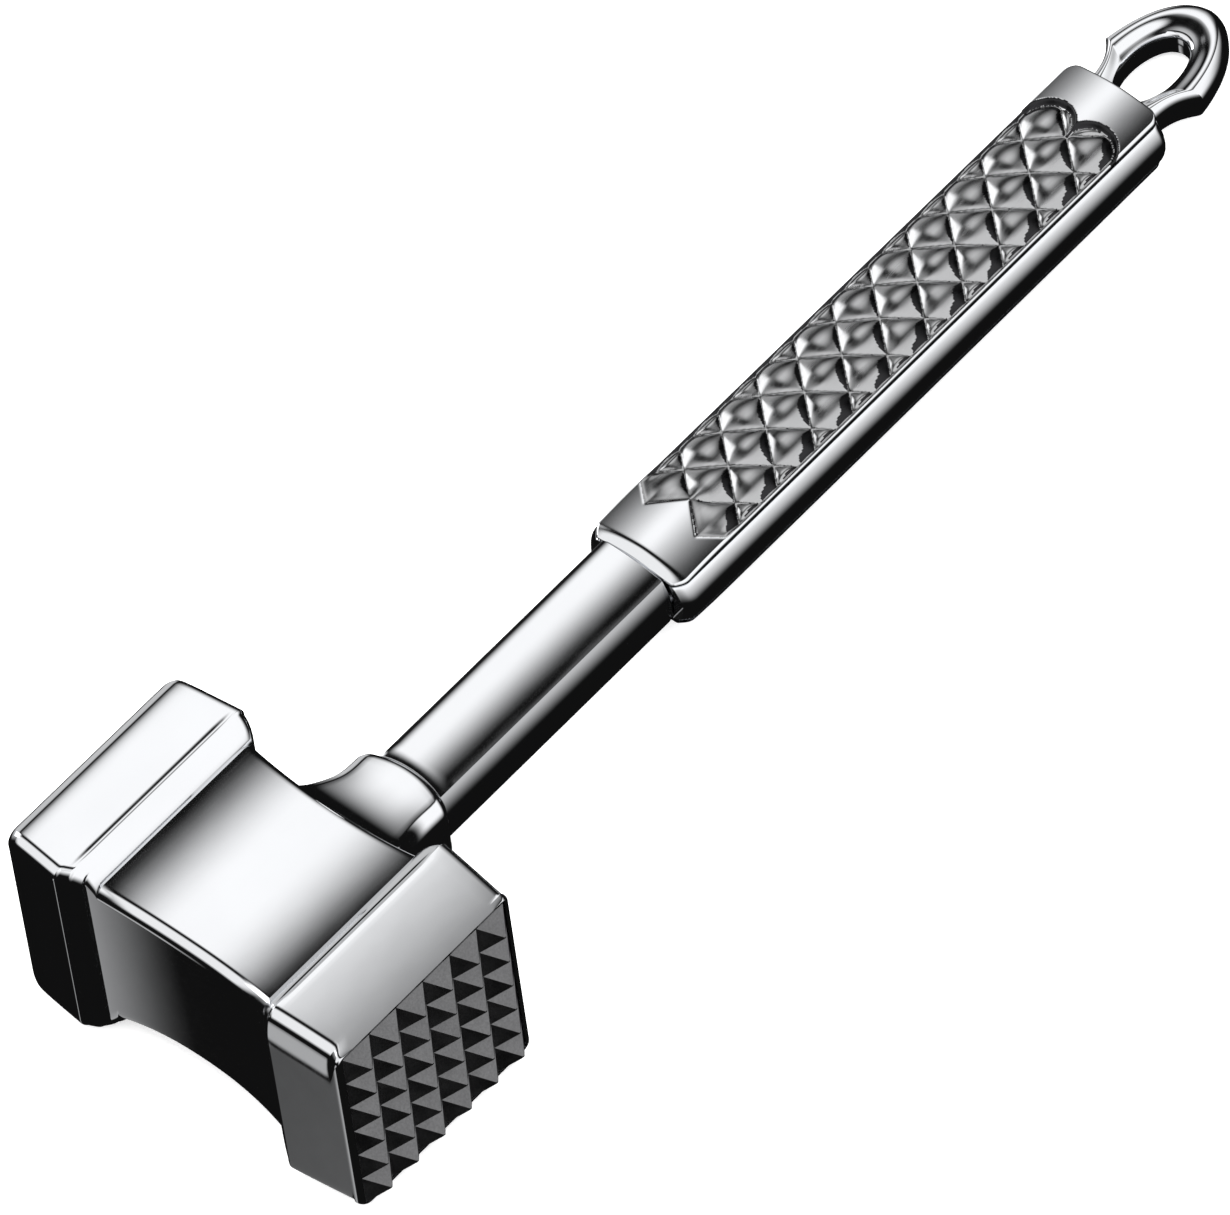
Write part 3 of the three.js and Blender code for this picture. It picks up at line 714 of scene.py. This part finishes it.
def resample(points, count):
    """The same line with points at even distances."""
    gaps = np.linalg.norm(np.diff(points, axis=0), axis=1)
    length = np.concatenate([[0], np.cumsum(gaps)])
    at = np.linspace(0, length[-1], count)
    return np.column_stack([np.interp(at, length, points[:, k]) for k in range(2)])


def loop_lines():
    """Closed inner and outer lines of the loop, each from its middle at the grip round by the tip."""
    root = (GRIP_END - LOOP_SINK, LOOP_ROOT_Y)
    shoulder = (LOOP_SHOULDER, LOOP_Y)
    neck = bezier([root, (LOOP_NECK - 1, 7.4), (LOOP_NECK + 1.4, 7.9), shoulder], 60)
    ogee = bezier([shoulder, (LOOP_SHOULDER + 6.5, 10.3), (LOOP_TIP - 0.5, 7.4), (LOOP_TIP, 0)], 120)
    outer = np.vstack([resample(neck, 40), resample(ogee, 61)[1:]])
    hole = [(HOLE_START, 0), (HOLE_START, HOLE_WIDTH), (HOLE_END, HOLE_WIDTH), (HOLE_END, 0)]
    inner = resample(bezier(hole, 160), len(outer))
    return [np.vstack([half, half[-2:0:-1] * [1, -1]]) for half in (inner, outer)]


def loop_profile():
    """(share from the hole to the outside, height share) round one cut through the loop's ring."""
    upper = [(0.0, 0.0), (0.0, 0.45), (0.02, 0.62), (DISH_START, 0.74)]
    for share in np.linspace(2 * DISH_START, LOOP_CREST, 8):
        rise = smoothstep((share - DISH_START) / LOOP_CREST)
        upper.append((share, LOOP_DISH + (1 - LOOP_DISH) * rise))
    for angle in np.linspace(0.15, 1, 12)[:-1] * QUARTER:
        share = LOOP_CREST + (1 - LOOP_CREST) * math.sin(angle)
        upper.append((share, math.cos(angle) ** LOOP_ROUND))
    lower = [(share, -height) for share, height in upper[:0:-1]]
    return np.array(upper + [(1.0, 0.0)] + lower)


def hanging_loop():
    """The pointed loop: its profile carried round between the hole and the outer line."""
    profile = loop_profile()
    rings = [
        [(*(near + (far - near) * share), LOOP_Z * height) for share, height in profile]
        for near, far in zip(*loop_lines())
    ]
    count, around = len(profile), len(rings)
    faces = []
    for ring in range(around):
        here, ahead = ring * count, (ring + 1) % around * count
        for side in range(count):
            following = (side + 1) % count
            faces.append((here + side, here + following, ahead + following, ahead + side))
    return make_piece("loop_ring", np.vstack(rings), faces, 40, "hanging_loop", "loop")


# ---- materials ----

def new_material(name):
    material = bpy.data.materials.new(name)
    material.use_nodes = True
    tree = material.node_tree
    return material, tree, tree.nodes["Principled BSDF"]


def noise(tree, scale, detail, stretch=(1, 1, 1), seed=0.0):
    """A noise value in the mallet's own frame, in metres."""
    coordinates = tree.nodes.new("ShaderNodeTexCoord")
    mapping = tree.nodes.new("ShaderNodeMapping")
    mapping.inputs["Scale"].default_value = stretch
    mapping.inputs["Location"].default_value = (seed, seed, seed)
    texture = tree.nodes.new("ShaderNodeTexNoise")
    texture.inputs["Scale"].default_value = scale
    texture.inputs["Detail"].default_value = detail
    tree.links.new(coordinates.outputs["Object"], mapping.inputs["Vector"])
    tree.links.new(mapping.outputs["Vector"], texture.inputs["Vector"])
    return texture.outputs["Fac"]


def spread(tree, value, low, high):
    """The value mapped from its usual noise range to low..high."""
    node = tree.nodes.new("ShaderNodeMapRange")
    node.inputs["From Min"].default_value = 0.3
    node.inputs["From Max"].default_value = 0.7
    node.inputs["To Min"].default_value = low
    node.inputs["To Max"].default_value = high
    tree.links.new(value, node.inputs["Value"])
    return node.outputs["Result"]


def tint(tree, value, dark, light):
    """A colour between dark and light, by the value."""
    mix = tree.nodes.new("ShaderNodeMix")
    mix.data_type = "RGBA"
    mix.inputs["A"].default_value = (*dark, 1)
    mix.inputs["B"].default_value = (*light, 1)
    tree.links.new(value, mix.inputs["Factor"])
    return mix.outputs["Result"]


def bump(tree, value, distance, strength):
    node = tree.nodes.new("ShaderNodeBump")
    node.inputs["Distance"].default_value = distance
    node.inputs["Strength"].default_value = strength
    tree.links.new(value, node.inputs["Height"])
    return node.outputs["Normal"]


def plating(name, grey, roughness):
    """Plating: a faint cloudiness, fine wipe marks and almost no relief."""
    material, tree, shader = new_material(name)
    shader.inputs["Metallic"].default_value = 1.0
    cloud = noise(tree, 60.0, 2.0)
    cloudy = tuple(channel * 0.93 for channel in grey)
    tree.links.new(tint(tree, cloud, cloudy, grey), shader.inputs["Base Color"])
    wipe = noise(tree, 900.0, 4.0, (0.08, 1, 1), 3.0)
    tree.links.new(spread(tree, wipe, roughness * 0.7, roughness * 1.4), shader.inputs["Roughness"])
    wave = noise(tree, 160.0, 1.0, seed=7.0)
    tree.links.new(bump(tree, wave, 0.00002, 0.5), shader.inputs["Normal"])
    return material


def cast_metal():
    """Dull grey casting with a fine grain."""
    material, tree, shader = new_material("cast_grey")
    shader.inputs["Metallic"].default_value = 1.0
    grain = noise(tree, 2400.0, 5.0)
    tree.links.new(tint(tree, grain, (0.12, 0.12, 0.123), (0.23, 0.23, 0.235)), shader.inputs["Base Color"])
    patch = noise(tree, 220.0, 3.0, seed=5.0)
    tree.links.new(spread(tree, patch, 0.34, 0.46), shader.inputs["Roughness"])
    tree.links.new(bump(tree, grain, 0.00008, 0.6), shader.inputs["Normal"])
    return material


def plain_steel():
    """Drawn or turned steel with fine lines, on the fasteners inside."""
    material, tree, shader = new_material("plain_steel")
    shader.inputs["Metallic"].default_value = 1.0
    lines = noise(tree, 1500.0, 3.0, (0.05, 1, 1))
    tree.links.new(tint(tree, lines, (0.42, 0.43, 0.45), (0.62, 0.63, 0.65)), shader.inputs["Base Color"])
    tree.links.new(spread(tree, lines, 0.25, 0.42), shader.inputs["Roughness"])
    tree.links.new(bump(tree, lines, 0.00004, 0.5), shader.inputs["Normal"])
    return material


def pale_floor():
    """A matt, nearly white floor that glows a little, so that it stays pale under the soft light."""
    material, tree, shader = new_material("pale_floor")
    mottle = noise(tree, 6.0, 3.0)
    tree.links.new(tint(tree, mottle, (0.88, 0.88, 0.88), (0.92, 0.92, 0.92)), shader.inputs["Base Color"])
    shader.inputs["Roughness"].default_value = 0.8
    shader.inputs["Emission Color"].default_value = (1, 1, 1, 1)
    shader.inputs["Emission Strength"].default_value = 0.5
    return material


def paint(piece, material):
    piece.data.materials.clear()
    piece.data.materials.append(material)


# ---- camera ----

CAMERA_AT = (-1035.96, -1226.63, 2201.89)  # millimetres from the crossing of the axes
CAMERA_RIGHT = Vector((0.65381, -0.75199, -0.08430)).normalized()
CAMERA_TOP = Vector((0.63727, 0.48716, 0.59707))
CAMERA_BACK = CAMERA_RIGHT.cross(CAMERA_TOP).normalized()
CAMERA_UP = CAMERA_BACK.cross(CAMERA_RIGHT)
CAMERA_LENS = 466.9


def camera():
    """A camera far away with a long lens, so that edges stay nearly parallel."""
    data = bpy.data.cameras.new("camera")
    data.lens = CAMERA_LENS
    data.sensor_width = 36.0
    data.clip_start = 0.1
    data.clip_end = 20.0
    holder = bpy.data.objects.new("camera", data)
    bpy.context.scene.collection.objects.link(holder)
    turn = Matrix((CAMERA_RIGHT, CAMERA_UP, CAMERA_BACK)).transposed()
    place = Vector(ORIGIN) + Vector(CAMERA_AT) * MM
    holder.matrix_world = Matrix.Translation(place) @ turn.to_4x4()
    bpy.context.scene.camera = holder


# ---- studio ----

# Each light is a soft patch of the sky. It is placed by the facings that reflect it to the main camera, in
# degrees: the turn from facing up towards facing the toothed side, and the lean along the handle, which is
# negative towards the nose. Each has four numbers, where the light starts, where it is full, where it stops
# being full and where it has ended. The last number is its brightness.
OVERHEAD = ((-12.5, -1.5, 1.6, 11.5), (-12, -4, 2, 29), 1.14)
EDGE_STRIP = ((-20, -12, 12, 20), (-60, -48, -24, -16), 1.0)
NEAR_STRIP = ((12, 17, 48, 77), (-50, -30, 6, 22), 1.15)
FAR_STRIP = ((-52, -38, -21, -14), (-50, -20, 10, 30), 0.62)
SPARKLE = ((-36, -28, -14, -8), (-34, -26, -14, -9), 2.4)
# The same for the nose: the turn from facing the nose towards the toothed side, and the rise above level.
NOSE_LIGHT = ((-1, 15.5, 15.5, 19), (-70, -20, 0.4, 2.5), 0.42)
NOSE_BEVEL = ((-3, 2, 12, 20), (2.5, 5.5, 11, 17), 0.45)
AMBIENT = 0.006


def studio_sky():
    """A sky of soft lights: its direction is turned into the facing that would reflect it to the camera."""
    world = bpy.data.worlds.new("studio")
    world.use_nodes = True
    nodes, links = world.node_tree.nodes, world.node_tree.links

    def attach(socket, value):
        if isinstance(value, (int, float)):
            socket.default_value = value
        else:
            links.new(value, socket)

    def math_node(operation, one, two=0.0):
        node = nodes.new("ShaderNodeMath")
        node.operation = operation
        attach(node.inputs[0], one)
        attach(node.inputs[1], two)
        return node.outputs[0]

    def degrees(radians):
        return math_node("MULTIPLY", radians, 180 / math.pi)

    def ramp(value, start, end, start_value, end_value):
        node = nodes.new("ShaderNodeMapRange")
        node.interpolation_type = "SMOOTHSTEP"
        attach(node.inputs["Value"], value)
        node.inputs["From Min"].default_value = start
        node.inputs["From Max"].default_value = end
        node.inputs["To Min"].default_value = start_value
        node.inputs["To Max"].default_value = end_value
        return node.outputs["Result"]

    def band(value, start, full, last_full, end):
        rise = ramp(value, start, full, 0.0, 1.0)
        fall = ramp(value, last_full, end, 1.0, 0.0)
        return math_node("MULTIPLY", rise, fall)

    def light(one, other, spans):
        across, along, brightness = spans
        shape = math_node("MULTIPLY", band(one, *across), band(other, *along))
        return math_node("MULTIPLY", shape, brightness)

    half_way = nodes.new("ShaderNodeVectorMath")
    half_way.operation = "ADD"
    links.new(nodes.new("ShaderNodeTexCoord").outputs["Generated"], half_way.inputs[0])
    half_way.inputs[1].default_value = CAMERA_BACK
    facing = nodes.new("ShaderNodeVectorMath")
    facing.operation = "NORMALIZE"
    links.new(half_way.outputs[0], facing.inputs[0])
    axes = nodes.new("ShaderNodeSeparateXYZ")
    links.new(facing.outputs[0], axes.inputs[0])
    along_handle, to_plain, up = axes.outputs

    to_toothed = math_node("MULTIPLY", to_plain, -1.0)
    to_nose = math_node("MULTIPLY", along_handle, -1.0)
    turn = degrees(math_node("ARCTAN2", to_toothed, up))
    lean = degrees(math_node("ARCSINE", along_handle))
    nose_turn = degrees(math_node("ARCTAN2", to_toothed, to_nose))
    nose_rise = degrees(math_node("ARCSINE", up))

    total = AMBIENT
    for spans in (OVERHEAD, EDGE_STRIP, NEAR_STRIP, FAR_STRIP, SPARKLE):
        total = math_node("MAXIMUM", light(turn, lean, spans), total)
    for spans in (NOSE_LIGHT, NOSE_BEVEL):
        total = math_node("MAXIMUM", light(nose_turn, nose_rise, spans), total)
    links.new(total, nodes["Background"].inputs["Color"])
    nodes["Background"].inputs["Strength"].default_value = 1.0
    bpy.context.scene.world = world


FLOOR_HALF = 3.0  # metres
FLOOR_GAP = 0.0003


def floor():
    """A wide pale floor under the head's lower edge and the far end of the grip, where the mallet rests."""
    head_edge = (HEAD_X - 1.5, -HEAD_Z)
    grip_edge = (GRIP_END, PANEL_SINK + PANEL_CROWN - PANEL_TOP)
    tilt = math.atan2(grip_edge[1] - head_edge[1], grip_edge[0] - head_edge[0])
    mesh = bpy.data.meshes.new("floor")
    mesh.from_pydata([(FLOOR_HALF * a, FLOOR_HALF * b, 0) for a, b in SQUARE], [], [(0, 1, 2, 3)])
    ground = bpy.data.objects.new("floor", mesh)
    bpy.context.scene.collection.objects.link(ground)
    foot = Vector(ORIGIN) + Vector((head_edge[0], 0, head_edge[1])) * MM - Vector((0, 0, FLOOR_GAP))
    ground.matrix_world = Matrix.Translation(foot) @ Matrix.Rotation(-tilt, 4, "Y")
    ground.visible_glossy = False
    paint(ground, pale_floor())


def key_lamp():
    """A square area lamp that lights matt surfaces and the floor, and isn't seen in the plating."""
    data = bpy.data.lights.new("key", "AREA")
    data.size = 1.6
    data.energy = 70
    holder = bpy.data.objects.new("key", data)
    bpy.context.scene.collection.objects.link(holder)
    aim = Vector((-0.2, -0.25, 1.0)).normalized()
    holder.location = aim * 2.0
    holder.rotation_euler = aim.to_track_quat("Z", "Y").to_euler()
    holder.visible_glossy = False


# ---- put together ----

bright = plating("bright_plating", (0.86, 0.87, 0.89), 0.07)
# The quilting's plating: its higher roughness is a duller finish, and its darker grey is painted shade.
quilted = plating("quilted_satin_and_painted_shade", (0.48, 0.483, 0.49), 0.2)
# Near-black plating, used as painted dark reflection on the grip panels.
painted_dark_reflection = plating("painted_dark_reflection_plating", (0.035, 0.035, 0.037), 0.3)
cast = cast_metal()
steel = plain_steel()

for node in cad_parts.values():
    paint(node, steel)

paint(head_body(), bright)
paint(head_boss(), bright)
paint(tooth_plate(), cast)
paint(shank_bar(), bright)
paint(grip_frame_bar(), bright)
grip_panel("quilted_panel_upper", "upper_grip_panel", underneath=False)
grip_panel("quilted_panel_lower", "lower_grip_panel", underneath=True)
paint(hanging_loop(), bright)

studio_sky()
floor()
key_lamp()
camera()
bpy.context.scene.view_settings.view_transform = "Standard"
